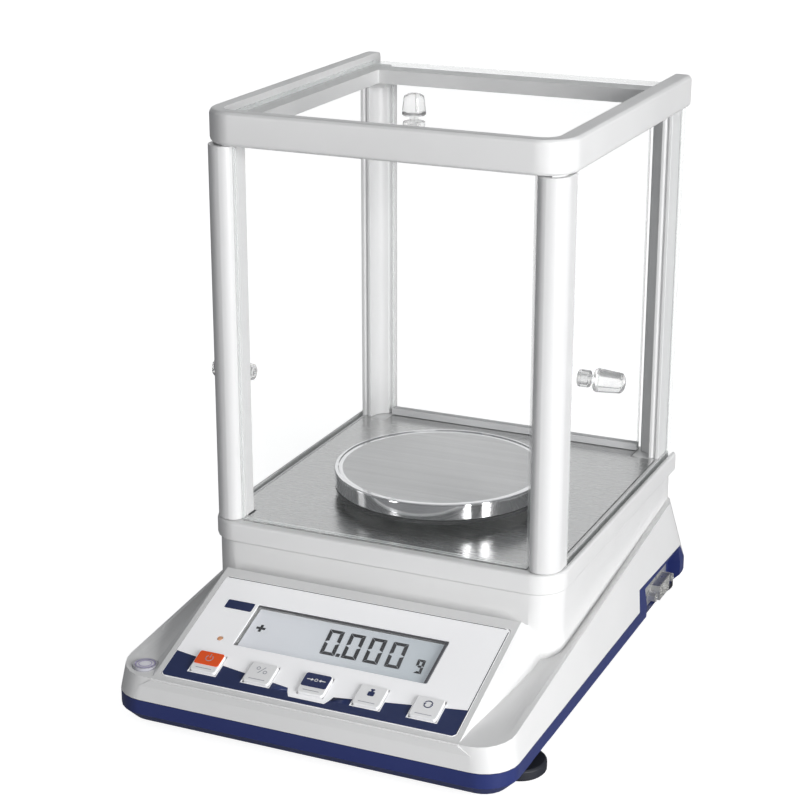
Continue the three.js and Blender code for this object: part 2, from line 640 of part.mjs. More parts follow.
const CELL = { halfW: 21, length: 96, z0: 24, z1: 50 };
const supportTop = panDisc - PAN_SHELL - GAP;
add(
  'pan_support',
  turned(
    [
      [0, CELL.z1 + GAP], [9, CELL.z1 + GAP], [9, CELL.z1 + 5], [5.5, CELL.z1 + 9], [5.5, 85], [10, 89],
      [34, supportTop - 2.2], [34, supportTop], [0, supportTop],
    ],
    0, PAN_Y, 32,
  ),
  ALUMINIUM,
);

// The load cell is a block with a bending slot through it, carried on a plate on the tray's floor.
const makeCell = () => {
  const y0 = PAN_Y - 24;
  const y1 = y0 + CELL.length;
  const block = box(-CELL.halfW, CELL.halfW, y0, y1, CELL.z0, CELL.z1);
  const mid = (CELL.z0 + CELL.z1) / 2;
  const slotEnds = [PAN_Y + 8, y1 - 26];
  const slot = box(-40, 40, slotEnds[0], slotEnds[1], mid - 5, mid + 5);
  const eyes = slotEnds.map((y) => cylinder('x', [-40, y, mid], 8, 8, 80, 24));
  return cut(block, slot, ...eyes);
};
add('load_cell', makeCell(), ALUMINIUM);
const bracketTop = CELL.z0 - GAP;
const trayFloor = TRAY_BOTTOM + WALL + GAP;
add(
  'load_cell_bracket',
  join(
    box(-32, 32, PAN_Y - 20, PAN_Y + 74, trayFloor, trayFloor + 4),
    box(-24, 24, PAN_Y + 46, PAN_Y + 70, trayFloor + 3, bracketTop),
  ),
  STEEL,
);

// ---------- the electronics ----------
const makeMainBoard = () => {
  let board = box(-88, -38, -36, 80, BOARD_Z, BOARD_Z + 1.6);
  const chips = [[-70, -10, 14, 14, 2], [-55, 30, 10, 18, 3], [-76, 52, 12, 9, 9], [-50, 64, 8, 8, 6]];
  for (const [x, y, w, d, h] of chips) board = board.add(box(x, x + w, y, y + d, BOARD_Z + 1, BOARD_Z + 1.6 + h));
  return board;
};
add('main_board', makeMainBoard(), BOARD);

const BOARD_DEPTH = 9.4;
const switchTop = -KEY.deep - 1.5;
const makeDisplayBoard = () => {
  let board = box(-78, 78, 9, 74, -BOARD_DEPTH - 1.6, -BOARD_DEPTH);
  for (let i = 0; i < KEY_NAMES.length; i += 1) {
    const x = keyX(i);
    board = board.add(box(x - 3, x + 3, KEY.v - 3, KEY.v + 3, -BOARD_DEPTH - 0.5, switchTop));
  }
  return onPanel(board);
};
add('display_board', makeDisplayBoard(), BOARD);
add('lcd_module', onPanel(box(-52, 52, LCD.v0 + 1, LCD.v1 - 1, -BOARD_DEPTH + GAP, -1.9)), LCD_GREY);
add(
  'lcd_window',
  onPanel(prism(roundedPoints(LCD.halfW - GAP, LCD.v0 + GAP, LCD.v1 - GAP, [1, 1], 2), -1.6, 0)),
  CLEAR_GLASS,
);

const makeOverlay = () => {
  let film = prism(roundedPoints(OVERLAY.halfW, OVERLAY.v0, OVERLAY.v1, [2.6, 2.6], 4), -OVERLAY.thick + GAP, 0.1);
  film = film.subtract(prism(roundedPoints(LCD.halfW, LCD.v0, LCD.v1, [1, 1], 2), -5, 5));
  for (let i = 0; i < KEY_NAMES.length; i += 1) film = film.subtract(keySlot(keyX(i)));
  return onPanel(film.subtract(cylinder('z', [LED.x, LED.v, -5], LED.r + GAP, LED.r + GAP, 10, 20)));
};
add('panel_overlay', makeOverlay(), FILM);

const KEY_COLOURS = [ORANGE, FILM, NAVY, FILM, FILM];
KEY_NAMES.forEach((name, i) => {
  const x = keyX(i);
  const g = new THREE.Shape(
    roundedPoints(KEY.w / 2, KEY.v - KEY.d / 2, KEY.v + KEY.d / 2, [1.6, 1.6], 4).map((p) => p.setX(p.x + x)),
  );
  const cap = new THREE.ExtrudeGeometry(g, {
    depth: KEY.deep + KEY.proud - 0.4,
    bevelEnabled: true,
    bevelThickness: 0.4,
    bevelSize: 0.4,
    bevelOffset: -0.4,
    bevelSegments: 2,
  });
  const body = toSolid(cap.translate(0, 0, -KEY.deep + 0.4)).trimByPlane([0, 0, 1], -KEY.deep + 0.4);
  add(name, onPanel(body), KEY_COLOURS[i]);
});
add('status_led', onPanel(cylinder('z', [LED.x, LED.v, -8], LED.r, LED.r, 8.2, 20)), ORANGE);

// ---------- the spirit level in the left shoulder ----------
const levelBase = LEVEL.top - LEVEL.depth;
const cupRim = LEVEL.top - 0.4;
add(
  'level_cup',
  turned(
    [
      [0, levelBase], [LEVEL.r, levelBase], [LEVEL.r, cupRim], [LEVEL.r - 0.9, cupRim], [LEVEL.r - 0.9, levelBase + 1.4],
      [0, levelBase + 1.4],
    ],
    LEVEL.x, LEVEL.y, 40,
  ),
  DARK,
);
const lensR = LEVEL.r - 0.9 - GAP;
add(
  'level_vial',
  turned(
    [
      [0, levelBase + 1.4 + GAP], [lensR, levelBase + 1.4 + GAP], [lensR, cupRim - 0.4], [lensR - 1.2, cupRim - 0.1],
      [lensR - 3, cupRim], [0, cupRim],
    ],
    LEVEL.x, LEVEL.y, 40,
  ),
  CLEAR_PLASTIC,
);

// ---------- sockets ----------
// The D shape of a data connector, wider at the top, drawn about its middle along Y.
const dShape = (halfL, halfH, slant, r) => {
  const points = [[-halfL + slant, -halfH], [halfL - slant, -halfH], [halfL, halfH], [-halfL, halfH]];
  return points.map(([a, b]) => new THREE.Vector2(a * (1 - r / halfL), b * (1 - r / halfH)));
};
const alongX = (points, x0, x1) => {
  const g = new THREE.ExtrudeGeometry(shapeOf(points), { depth: x1 - x0, bevelEnabled: false });
  g.applyMatrix4(new THREE.Matrix4().set(0, 0, 1, x0, 1, 0, 0, CONNECTOR_Y, 0, 1, 0, CONNECTOR_Z, 0, 0, 0, 1));
  return toSolid(g);
};
const flangeX = POCKET.floorX + GAP;
const JACK_SPAN = 15.5;
const makeConnector = () => {
  const flange = box(
    flangeX, flangeX + 1, CONNECTOR_Y - 19.2, CONNECTOR_Y + 19.2, CONNECTOR_Z - 6.1, CONNECTOR_Z + 6.1,
  );
  const back = box(92, flangeX + 0.5, CONNECTOR_Y - 9.4, CONNECTOR_Y + 9.4, CONNECTOR_Z - 4, CONNECTOR_Z + 4);
  const shell = alongX(dShape(10, 4.6, 1.3, 0), flangeX + 0.5, flangeX + 6.3);
  let body = join(flange, back, shell).subtract(alongX(dShape(10, 4.6, 1.3, 0.7), flangeX + 1.6, flangeX + 8));
  for (const [row, count] of [[1.4, 5], [-1.4, 4]]) {
    for (let i = 0; i < count; i += 1) {
      const y = CONNECTOR_Y + (i - (count - 1) / 2) * 2.77;
      body = body.add(cylinder('x', [flangeX + 1, y, CONNECTOR_Z + row], 0.5, 0.4, 4.6, 8));
    }
  }
  for (const side of [-1, 1]) {
    body = body.subtract(cylinder('x', [95, CONNECTOR_Y + side * JACK_SPAN, CONNECTOR_Z], 1.7, 1.7, 20, 16));
  }
  return body;
};
add('data_connector', makeConnector(), STEEL);
const jackTop = flangeX + 1 + GAP;
for (const [name, side] of [['front', -1], ['rear', 1]]) {
  const at = [jackTop, CONNECTOR_Y + side * JACK_SPAN, CONNECTOR_Z];
  const hex = cylinder('x', at, 2.7, 2.7, 5, 6);
  add(`jack_screw_${name}`, hex.subtract(cylinder('x', [jackTop + 1, at[1], at[2]], 1.4, 1.4, 9, 16)), CHROME);
}
add(
  'earth_screw',
  join(
    cylinder('x', [POCKET.floorX + GAP, POCKET_SCREW.y, POCKET_SCREW.z], 3.2, 2.8, 2.2, 20),
    cylinder('x', [POCKET.floorX - 3.4, POCKET_SCREW.y, POCKET_SCREW.z], 1.5, 1.5, 4, 16),
  ),
  CHROME,
);
add(
  'power_inlet',
  cut(
    join(
      cylinder('y', [INLET.x, INLET.y - 12, INLET.z], INLET.r, INLET.r, 12.6, 28),
      cylinder('y', [INLET.x, INLET.y + 0.4, INLET.z], INLET.flangeR, INLET.flangeR, 1.4, 28),
    ),
    cylinder('y', [INLET.x, INLET.y - 8, INLET.z], 3.2, 3.2, 20, 24),
  ).add(cylinder('y', [INLET.x, INLET.y - 8.5, INLET.z], 0.8, 0.8, 8, 12)),
  DARK,
);

// ---------- the feet ----------
for (const [place, x, y] of footPlaces) {
  add(
    `foot_${place}`,
    turned(
      [
        [0, 0], [FOOT_R - 1, 0], [FOOT_R, 1], [FOOT_R, FOOT_H - 1], [FOOT_R - 1, FOOT_H], [STUD_R + GAP, FOOT_H],
        [STUD_R + GAP, 2.2], [0, 2.2],
      ],
      x, y, 32,
    ),
    RUBBER,
  );
  add(`foot_stud_${place}`, turned([[0, 2.5], [STUD_R, 2.5], [STUD_R, 18], [STUD_R - 0.8, 18.8], [0, 18.8]], x, y, 20), STEEL);
}
const SCREW_NAMES = ['front_left', 'front_right', 'rear_left', 'rear_right'];
trayScrews.forEach(([x, y], i) => {
  const head = TRAY_BOTTOM + 1;
  const screw = turned(
    [[0, head - 2.4], [3.4, head - 2.4], [4, head - 1.8], [4, head], [2, head], [2, head + 11], [0, head + 12]], x, y, 12,
  );
  const slot = join(box(x - 2.4, x + 2.4, y - 0.5, y + 0.5, 0, head - 1.2), box(x - 0.5, x + 0.5, y - 2.4, y + 2.4, 0, head - 1.2));
  add(`tray_screw_${SCREW_NAMES[i]}`, screw.subtract(slot), STEEL);
});

export default group;
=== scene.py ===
"""Looks for the analytical balance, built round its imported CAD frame. Metres, +Z up, front towards -Y."""
import math

import bmesh
import bpy
from mathutils import Matrix, Vector


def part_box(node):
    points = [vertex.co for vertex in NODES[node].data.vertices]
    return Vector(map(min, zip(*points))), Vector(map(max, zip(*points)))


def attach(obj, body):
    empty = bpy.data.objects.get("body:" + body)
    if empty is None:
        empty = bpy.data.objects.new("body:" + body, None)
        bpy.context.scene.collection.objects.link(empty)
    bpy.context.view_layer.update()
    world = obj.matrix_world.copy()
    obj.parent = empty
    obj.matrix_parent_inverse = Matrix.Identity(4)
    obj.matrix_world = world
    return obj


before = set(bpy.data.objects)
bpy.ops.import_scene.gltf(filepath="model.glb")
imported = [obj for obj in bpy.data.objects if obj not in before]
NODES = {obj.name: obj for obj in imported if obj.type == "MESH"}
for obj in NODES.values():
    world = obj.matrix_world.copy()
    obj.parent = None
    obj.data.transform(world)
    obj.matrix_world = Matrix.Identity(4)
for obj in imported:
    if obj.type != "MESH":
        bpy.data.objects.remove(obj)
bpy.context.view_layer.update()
MM = 0.001

# ---------- camera, light and floor ----------
CAMERA_AT = (0.40407, -0.93035, 0.49120)
CAMERA_TILT = math.radians(90 - 18.9)
CAMERA_TURN = math.radians(24.18)
CAMERA_LENS = 91.5
CAMERA_SENSOR = 36
SKY_COLOUR = (0.80, 0.82, 0.85, 1)
SKY_STRENGTH = 0.2

camera = bpy.data.objects.new("camera", bpy.data.cameras.new("camera"))
camera.location = CAMERA_AT
camera.rotation_euler = (CAMERA_TILT, 0, CAMERA_TURN)
camera.data.lens = CAMERA_LENS
camera.data.sensor_width = CAMERA_SENSOR
bpy.context.scene.collection.objects.link(camera)
bpy.context.scene.camera = camera
bpy.context.scene.view_settings.view_transform = "Standard"


def area_light(name, at, aim, size, power):
    """A rectangular softbox at a point, turned to face another."""
    data = bpy.data.lights.new(name, "AREA")
    data.shape = "RECTANGLE"
    data.size, data.size_y = size
    data.energy = power
    lamp = bpy.data.objects.new(name, data)
    lamp.location = at
    lamp.rotation_euler = (Vector(aim) - Vector(at)).to_track_quat("-Z", "Y").to_euler()
    bpy.context.scene.collection.objects.link(lamp)


area_light("key_right", (1.42, -0.80, 0.42), (0, 0, 0.14), (0.7, 0.9), 30)
area_light("strip_front", (-0.75, -1.45, 0.35), (0, 0, 0.12), (0.22, 0.7), 3.2)
area_light("top_soft", (0.1, 0.35, 1.7), (0, 0, 0.1), (1.2, 1.2), 2.5)
area_light("card_back", (-1.15, 2.5, 1.0), (0, 0, 0.1), (2.6, 1.5), 9)

world = bpy.data.worlds.new("studio")
world.use_nodes = True
bpy.context.scene.world = world
sky = world.node_tree.nodes["Background"]
sky.inputs["Color"].default_value = SKY_COLOUR
sky.inputs["Strength"].default_value = SKY_STRENGTH


# ---------- materials ----------
FLOW_DEPTH = 0.0012  # long shallow waves in a moulding, in metres
GRAIN_DEPTH = 0.00006
GROOVE_DEPTH = 0.00004  # brushing on steel
GLASS_EDGE = 0.0006  # how far in a pane's ground edge reaches
GLASS_EDGE_ALPHA = 0.34
PLATE_TURN = math.radians(90)
BRUSH_TURN = math.radians(-24)
PAN_DISC = 0.0542  # radius of the brushed disc inside the polished rim


class Look:
    """A Principled material with helpers that add procedural detail in object space."""

    def __init__(self, name, colour, rough, metal=0.0, **sockets):
        self.mat = bpy.data.materials.new(name)
        self.mat.use_nodes = True
        self.tree = self.mat.node_tree
        self.bsdf = self.tree.nodes["Principled BSDF"]
        self.bsdf.inputs["Base Color"].default_value = (*colour, 1)
        self.bsdf.inputs["Roughness"].default_value = rough
        self.bsdf.inputs["Metallic"].default_value = metal
        for key, value in sockets.items():
            self.bsdf.inputs[key.replace("_", " ")].default_value = value
        self.colour = colour
        self.coord = self.new("ShaderNodeTexCoord").outputs["Object"]
        self.normal = None

    def new(self, kind, **props):
        node = self.tree.nodes.new(kind)
        for key, value in props.items():
            setattr(node, key, value)
        return node

    def link(self, a, b):
        self.tree.links.new(a, b)

    def mapped(self, scale, turn=0.0):
        node = self.new("ShaderNodeMapping")
        node.inputs["Scale"].default_value = scale
        node.inputs["Rotation"].default_value = (0, 0, turn)
        self.link(self.coord, node.inputs["Vector"])
        return node.outputs["Vector"]

    def noise(self, scale, detail=3.0, rough=0.55, stretch=(1, 1, 1), turn=0.0):
        node = self.new("ShaderNodeTexNoise")
        node.inputs["Scale"].default_value = scale
        node.inputs["Detail"].default_value = detail
        node.inputs["Roughness"].default_value = rough
        self.link(self.mapped(stretch, turn), node.inputs["Vector"])
        return node.outputs["Fac"]

    def ramp(self, value, stops):
        node = self.new("ShaderNodeValToRGB")
        ramp = node.color_ramp
        while len(ramp.elements) < len(stops):
            ramp.elements.new(0.5)
        for element, (at, colour) in zip(ramp.elements, stops):
            element.position = at
            element.color = (*colour, 1) if len(colour) == 3 else colour
        self.link(value, node.inputs["Fac"])
        return node.outputs["Color"]

    def spread(self, value, low, high, start=0.3, end=0.7):
        node = self.new("ShaderNodeMapRange")
        for key, number in (("From Min", start), ("From Max", end), ("To Min", low), ("To Max", high)):
            node.inputs[key].default_value = number
        self.link(value, node.inputs["Value"])
        return node.outputs["Result"]

    def maths(self, operation, a, b=None):
        node = self.new("ShaderNodeMath", operation=operation)
        for socket, value in zip(node.inputs, (a, b)):
            if value is None:
                continue
            if isinstance(value, (int, float)):
                socket.default_value = value
            else:
                self.link(value, socket)
        return node.outputs["Value"]

    def bump(self, value, strength, distance):
        node = self.new("ShaderNodeBump")
        node.inputs["Strength"].default_value = strength
        node.inputs["Distance"].default_value = distance
        self.link(value, node.inputs["Height"])
        if self.normal is not None:
            self.link(self.normal, node.inputs["Normal"])
        self.normal = node.outputs["Normal"]
        self.link(self.normal, self.bsdf.inputs["Normal"])
        return self

    def tint(self, value, low, high):
        """Base colour runs between two multiples of the plain colour."""
        stops = [tuple(min(1, c * k) for c in self.colour) for k in (low, high)]
        self.link(self.ramp(value, [(0.3, stops[0]), (0.7, stops[1])]), self.bsdf.inputs["Base Color"])
        return self

    def vary_rough(self, value, low, high):
        self.link(self.spread(value, low, high), self.bsdf.inputs["Roughness"])
        return self


def moulded(name, colour, rough, grain=1400.0, **sockets):
    """Injection-moulded plastic: fine spark-eroded grain, faint flow marks and a few rubbed patches."""
    look = Look(name, colour, rough, **sockets)
    look.tint(look.noise(9, 4), 0.965, 1.02)
    look.vary_rough(look.noise(34, 5, 0.65), rough - 0.06, rough + 0.07)
    look.bump(look.noise(6, 2), 0.10, FLOW_DEPTH)
    look.bump(look.noise(grain, 2, 0.5), 0.10, GRAIN_DEPTH)
    return look


white = moulded(
    "white_shell", (0.80, 0.80, 0.798), 0.36, Specular_IOR_Level=0.45, Coat_Weight=0.12, Coat_Roughness=0.2,
)
blue = moulded(
    "blue_shell", (0.022, 0.034, 0.150), 0.34, Specular_IOR_Level=0.5, Coat_Weight=0.15, Coat_Roughness=0.2,
)
black = moulded("black_plastic", (0.018, 0.018, 0.020), 0.45)
seal = moulded("pale_seal", (0.62, 0.62, 0.63), 0.5)
cup = moulded("level_ring", (0.50, 0.50, 0.55), 0.35)
rubber = moulded("foot_rubber", (0.014, 0.016, 0.024), 0.55, grain=900.0)

# Powder coat: a rounder orange peel, on an extrusion with very faint draw lines along it.
post = Look("powder_coat", (0.78, 0.78, 0.78), 0.33, Coat_Weight=0.1, Coat_Roughness=0.15)
post.tint(post.noise(40, 3, stretch=(1, 1, 0.05)), 0.97, 1.01)
post.vary_rough(post.noise(60, 3), 0.28, 0.38)
post.bump(post.noise(500, 2), 0.12, 0.00012)


def brushed(name, colour, rough, turn, streak=0.5):
    """Steel brushed along one direction, turned about Z from X."""
    look = Look(name, colour, rough, 1.0)
    lines = look.noise(1.0, 6, 0.7, stretch=(9, 2600, 60), turn=turn)
    soft = look.noise(1.0, 3, 0.5, stretch=(4, 260, 20), turn=turn)
    both = look.maths("ADD", look.maths("MULTIPLY", lines, 0.6), look.maths("MULTIPLY", soft, 0.4))
    look.tint(both, 1 - 0.12 * streak, 1 + 0.10 * streak)
    look.vary_rough(both, rough - 0.07 * streak, rough + 0.10 * streak)
    look.bump(both, 0.25 * streak, GROOVE_DEPTH)
    return look


plate = brushed("plate_brushed", (0.56, 0.56, 0.56), 0.25, PLATE_TURN, 0.7)


def two_part_pan():
    """Polished rim and skirt round a brushed disc, told apart by the distance from the pan's middle."""
    look = Look("pan_metal", (0.86, 0.86, 0.87), 0.05, 1.0)
    low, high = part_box("weighing_pan")
    lines = look.noise(1.0, 6, 0.75, stretch=(7, 1900, 1), turn=BRUSH_TURN)
    broad = look.noise(1.0, 3, 0.5, stretch=(3, 170, 1), turn=BRUSH_TURN)
    both = look.maths("ADD", look.maths("MULTIPLY", lines, 0.65), look.maths("MULTIPLY", broad, 0.35))
    shift = look.new("ShaderNodeMapping")
    shift.inputs["Location"].default_value = (-(low[0] + high[0]) / 2, -(low[1] + high[1]) / 2, 0)
    look.link(look.coord, shift.inputs["Vector"])
    split = look.new("ShaderNodeSeparateXYZ")
    look.link(shift.outputs["Vector"], split.inputs["Vector"])
    squares = [look.maths("MULTIPLY", split.outputs[k], split.outputs[k]) for k in (0, 1)]
    radius = look.maths("SQRT", look.maths("ADD", *squares))
    inside = look.maths("LESS_THAN", radius, PAN_DISC)
    disc = look.new("ShaderNodeBsdfPrincipled")
    disc.inputs["Metallic"].default_value = 0.55
    tones = look.ramp(both, [(0.3, (0.62, 0.62, 0.62)), (0.7, (0.96, 0.96, 0.96))])
    look.link(tones, disc.inputs["Base Color"])
    look.link(look.spread(both, 0.34, 0.50), disc.inputs["Roughness"])
    grooves = look.new("ShaderNodeBump")
    grooves.inputs["Strength"].default_value = 0.22
    grooves.inputs["Distance"].default_value = GROOVE_DEPTH
    look.link(both, grooves.inputs["Height"])
    look.link(grooves.outputs["Normal"], disc.inputs["Normal"])
    look.vary_rough(look.noise(120, 4, 0.6), 0.03, 0.10)
    look.bump(look.noise(45, 2), 0.03, 0.0004)
    mix = look.new("ShaderNodeMixShader")
    look.link(inside, mix.inputs["Fac"])
    look.link(look.bsdf.outputs["BSDF"], mix.inputs[1])
    look.link(disc.outputs["BSDF"], mix.inputs[2])
    look.link(mix.outputs["Shader"], look.tree.nodes["Material Output"].inputs["Surface"])
    return look


pan_metal = two_part_pan()
screw = Look("plated_steel", (0.62, 0.62, 0.62), 0.22, 1.0)
screw.vary_rough(screw.noise(400, 3), 0.16, 0.34)
screw.tint(screw.noise(150, 3), 0.88, 1.0)
shell = Look("tinned_steel", (0.80, 0.80, 0.79), 0.30, 0.75)
shell.vary_rough(shell.noise(300, 3), 0.22, 0.40)
shell.tint(shell.noise(120, 3), 0.86, 1.04)
cast = Look("machined_aluminium", (0.56, 0.57, 0.58), 0.36, 1.0)
cast.vary_rough(cast.noise(1, 4, stretch=(20, 900, 900)), 0.28, 0.45)
cast.tint(cast.noise(60, 3), 0.92, 1.0)
board = Look("solder_mask", (0.012, 0.10, 0.045), 0.35)
board.tint(board.noise(420, 1), 0.75, 1.25)
board.bump(board.noise(420, 1), 0.2, 0.0001)


def pane(name, node, thin_axis):
    """Clear float glass: almost invisible through its faces, greener and more solid at its ground edges."""
    low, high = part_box(node)
    look = Look(name, (0.90, 0.94, 0.93), 0.03, IOR=1.5, Specular_IOR_Level=0.5)
    split = look.new("ShaderNodeSeparateXYZ")
    look.link(look.coord, split.inputs["Vector"])
    edge = None
    for axis in range(3):
        if axis == thin_axis:
            continue
        middle, half = (low[axis] + high[axis]) / 2, (high[axis] - low[axis]) / 2
        away = look.maths("ABSOLUTE", look.maths("SUBTRACT", split.outputs[axis], middle))
        near = look.maths("GREATER_THAN", away, half - GLASS_EDGE)
        edge = near if edge is None else look.maths("MAXIMUM", edge, near)
    smear = look.spread(look.noise(14, 5, 0.7), 0.02, 0.05, 0.35, 0.7)
    rim = look.maths("MULTIPLY", edge, GLASS_EDGE_ALPHA)
    look.link(look.maths("MAXIMUM", rim, smear), look.bsdf.inputs["Alpha"])
    look.vary_rough(look.noise(20, 4, 0.6), 0.02, 0.07)
    return look


acrylic = Look("clear_acrylic", (0.99, 0.99, 0.99), 0.12, IOR=1.36, Transmission_Weight=0.86)
acrylic.vary_rough(acrylic.noise(160, 3), 0.06, 0.16)
acrylic.bump(acrylic.noise(120, 3), 0.12, 0.0002)

cover = Look("lcd_cover", (0.9, 0.92, 0.95), 0.08, IOR=1.49)
cover.link(cover.spread(cover.noise(20, 4), 0.03, 0.06), cover.bsdf.inputs["Alpha"])
cover.vary_rough(cover.noise(60, 4), 0.05, 0.12)

# The film also glows faintly: painted light that brightens the printed overlay.
film = Look("printed_film", (0.93, 0.93, 0.945), 0.40, Emission_Color=(1, 1, 1, 1), Emission_Strength=0.16)
film.tint(film.noise(30, 3), 0.985, 1.01)
film.vary_rough(film.noise(90, 4), 0.34, 0.46)
film.bump(film.noise(1800, 2), 0.10, 0.00004)
navy = moulded("navy_print", (0.018, 0.030, 0.105), 0.38)
# Dark grey for the painted shadow lines along the film's edges and the display window's edges.
line = moulded("painted_shadow_grey", (0.10, 0.10, 0.11), 0.40)
soft_line = moulded("pale_grey_print", (0.42, 0.42, 0.47), 0.42)
key_white = moulded("key_white", (0.94, 0.94, 0.945), 0.34)
key_orange = moulded("key_orange", (0.95, 0.11, 0.015), 0.34)
key_navy = moulded("key_navy", (0.022, 0.034, 0.115), 0.34)
vial = Look("level_vial", (0.78, 0.77, 0.84), 0.12, Coat_Weight=0.6, Coat_Roughness=0.04)
vial.tint(vial.noise(160, 3), 0.97, 1.03)
lavender = moulded("level_mark", (0.36, 0.30, 0.56), 0.3)
lamp = Look("lamp", (0.80, 0.42, 0.24), 0.3)
lamp.tint(lamp.noise(900, 2), 0.85, 1.1)
# Painted light: the display glass glows faintly, and its grey is painted lighter on the left and darker
# towards the right as painted shade across the window.
lcd = Look("lcd_glass", (0.60, 0.65, 0.69), 0.22, Emission_Color=(0.88, 0.92, 1, 1), Emission_Strength=0.14)
split = lcd.new("ShaderNodeSeparateXYZ")
lcd.link(lcd.coord, split.inputs["Vector"])
across = lcd.maths("ADD", split.outputs[0], lcd.maths("MULTIPLY", lcd.noise(9, 2), 0.01))
shade = lcd.spread(across, 0, 1, -0.052, 0.058)
lcd.link(
    lcd.ramp(shade, [(0.0, (0.80, 0.81, 0.84)), (0.42, (0.72, 0.75, 0.78)), (1.0, (0.50, 0.56, 0.59))]),
    lcd.bsdf.inputs["Base Color"],
)
lcd.bump(lcd.noise(2400, 1), 0.05, 0.00003)
digit = Look("lcd_segment", (0.006, 0.006, 0.008), 0.45, Specular_IOR_Level=0.2)
digit.tint(digit.noise(700, 2), 0.7, 1.4)


# ---------- dressing the CAD nodes ----------
SMOOTH_ANGLE = math.radians(38)
BEVEL_ANGLE = math.radians(30)
FLAT_ANGLE = math.radians(0.8)  # faces flatter than this are merged
WELD_DISTANCE = 2e-6
KEYS = ("key_power", "key_count", "key_tare", "key_calibrate", "key_print")


def smooth_group():
    """Geometry nodes that shade smooth except across sharp edges."""
    group = bpy.data.node_groups.new("smooth_faces", "GeometryNodeTree")
    group.interface.new_socket("Geometry", in_out="INPUT", socket_type="NodeSocketGeometry")
    group.interface.new_socket("Geometry", in_out="OUTPUT", socket_type="NodeSocketGeometry")
    nodes, links = group.nodes, group.links
    start, end = nodes.new("NodeGroupInput"), nodes.new("NodeGroupOutput")
    drop = nodes.new("GeometryNodeRemoveAttribute")
    drop.inputs["Name"].default_value = "custom_normal"
    faces = nodes.new("GeometryNodeSetShadeSmooth")
    faces.domain = "FACE"
    faces.inputs["Shade Smooth"].default_value = True
    edges = nodes.new("GeometryNodeSetShadeSmooth")
    edges.domain = "EDGE"
    edges.inputs["Shade Smooth"].default_value = False
    angle = nodes.new("GeometryNodeInputMeshEdgeAngle")
    sharp = nodes.new("FunctionNodeCompare")
    sharp.data_type = "FLOAT"
    sharp.operation = "GREATER_THAN"
    sharp.inputs["B"].default_value = SMOOTH_ANGLE
    for a, b in (
        (start.outputs[0], drop.inputs["Geometry"]),
        (drop.outputs["Geometry"], faces.inputs["Geometry"]),
        (faces.outputs["Geometry"], edges.inputs["Geometry"]),
        (angle.outputs["Unsigned Angle"], sharp.inputs["A"]),
        (sharp.outputs["Result"], edges.inputs["Selection"]),
        (edges.outputs["Geometry"], end.inputs[0]),
    ):
        links.new(a, b)
    return group


SMOOTH = smooth_group()


def finish_edges(obj, width=0.0, segments=3):
    """Welds, cleans, rounds the edges by a width in metres and shades smooth."""
    weld = obj.modifiers.new("weld", "WELD")
    weld.merge_threshold = WELD_DISTANCE
    clean = obj.modifiers.new("clean", "DECIMATE")
    clean.decimate_type = "DISSOLVE"
    clean.angle_limit = FLAT_ANGLE
    if width:
        edge = obj.modifiers.new("edge", "BEVEL")
        edge.width = width
        edge.segments = segments
        edge.limit_method = "ANGLE"
        edge.angle_limit = BEVEL_ANGLE
        edge.miter_outer = "MITER_ARC"
    smooth = obj.modifiers.new("smooth", "NODES")
    smooth.node_group = SMOOTH
    even = obj.modifiers.new("even", "WEIGHTED_NORMAL")
    even.keep_sharp = True


def dress(node, look, width, segments=3):
    """Gives a CAD node its look, with edges rounded by a width in millimetres."""
    obj = NODES[node]
    obj.data.materials.clear()
    obj.data.materials.append(look.mat)
    finish_edges(obj, width * MM, segments)


for node, look, width in (
    ("upper_housing", white, 1.1), ("lower_tray", blue, 0.7), ("shield_base_ring", white, 0.6),
    ("top_frame", white, 0.7), ("rear_glass_seal", seal, 0.3), ("chamber_floor_plate", plate, 0.15),
    # pan_foot_band is dressed black, standing in for the shadow in the gap under the pan's skirt.
    ("pan_foot_band", black, 0.2), ("weighing_pan", pan_metal, 0.25), ("pan_support", cast, 0.3),
    ("load_cell", cast, 0.5), ("load_cell_bracket", cast, 0.5), ("main_board", board, 0.15),
    ("display_board", board, 0.15), ("lcd_module", lcd, 0.2), ("panel_overlay", film, 0.12),
    ("status_led", lamp, 0.4), ("level_cup", cup, 0.25), ("level_vial", vial, 0.2),
    ("data_connector", shell, 0.15), ("jack_screw_front", shell, 0.2), ("jack_screw_rear", shell, 0.2),
    ("earth_screw", shell, 0.2), ("power_inlet", black, 0.3),
):
    dress(node, look, width)
for place in ("front_left", "front_right", "rear_left", "rear_right"):
    dress(f"{place}_post", post, 0.4)
    dress(f"foot_{place}", rubber, 0.3)
    dress(f"foot_stud_{place}", screw, 0.2)
    dress(f"tray_screw_{place}", screw, 0.1)
for node, thin_axis in (
    ("front_glass", 1), ("rear_glass", 1), ("left_door_glass", 0), ("right_door_glass", 0),
    ("top_door_glass", 2),
):
    dress(node, pane(node, node, thin_axis), 0.3, segments=1)
dress("lcd_window", cover, 0.2, segments=1)
for door in ("left_door", "right_door", "top_door"):
    dress(f"{door}_knob", acrylic, 0.3)
    dress(f"{door}_knob_nut", acrylic, 0.3)
for key in KEYS:
    dress(key, key_white, 0.25)


# ---------- pieces of the panel ----------
# Panel space: u to the right, v up the slope, w out of the panel, in millimetres.
PANEL_ANGLE = math.atan(0.352)  # the rise of the panel over its run
PANEL_ORIGIN = Vector((0, -150.5, 31.3)) * MM
PANEL = Matrix.Translation(PANEL_ORIGIN) @ Matrix.Rotation(PANEL_ANGLE, 4, "X")


def link_piece(name, mesh, look, body, edge=0.0):
    obj = bpy.data.objects.new(name, mesh)
    mesh.materials.append(look.mat)
    bpy.context.scene.collection.objects.link(obj)
    finish_edges(obj, edge)
    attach(obj, body)


